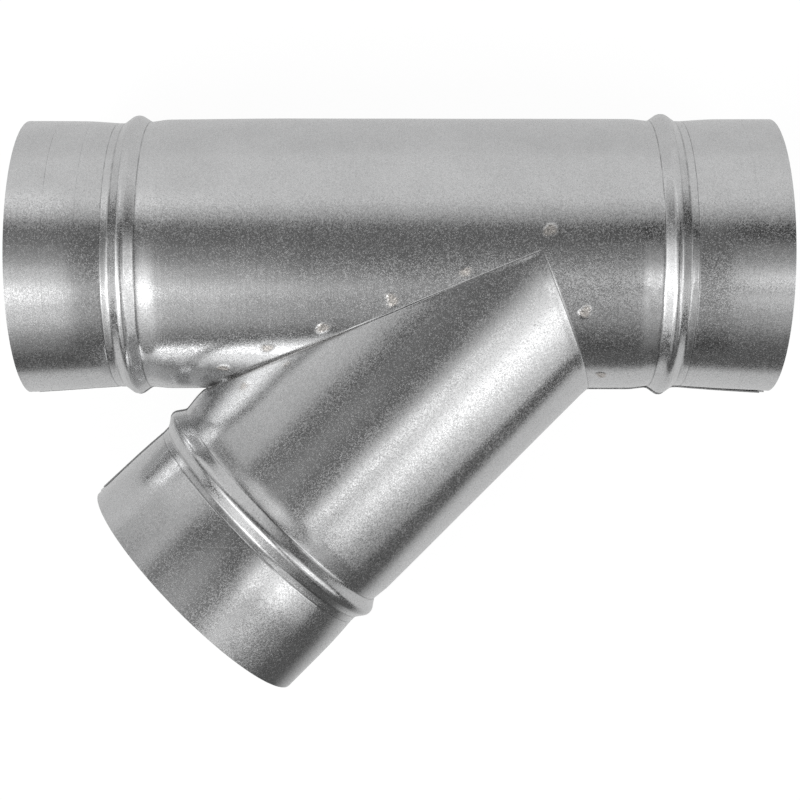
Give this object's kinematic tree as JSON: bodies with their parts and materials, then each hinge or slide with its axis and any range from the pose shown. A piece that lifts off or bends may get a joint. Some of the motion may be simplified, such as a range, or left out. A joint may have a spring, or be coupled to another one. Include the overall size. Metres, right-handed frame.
{
  "type": "duct y branch",
  "caption": "Sheet-metal duct Y branch: a straight run with a beaded spigot at both ends and an equal side branch spot-welded on at an acute angle.",
  "frame": {"origin": "centre of the run's first mouth, the one on the branch's acute side, on the run's axis", "axes": "+X along the run from the first mouth to the second; the branch leaves towards -X and -Y in the XY plane; +Z faces up as the fitting lies on its beads"},
  "size_m": [0.2715, 0.2109, 0.1032],
  "materials": {
    "galvanised_sheet": "zinc-coated mill finish, satin, with fine grain and faint roller lines"
  },
  "bodies": {
    "root": {"run_tube": "galvanised_sheet", "branch_tube": "galvanised_sheet"}
  },
  "joints": []
}
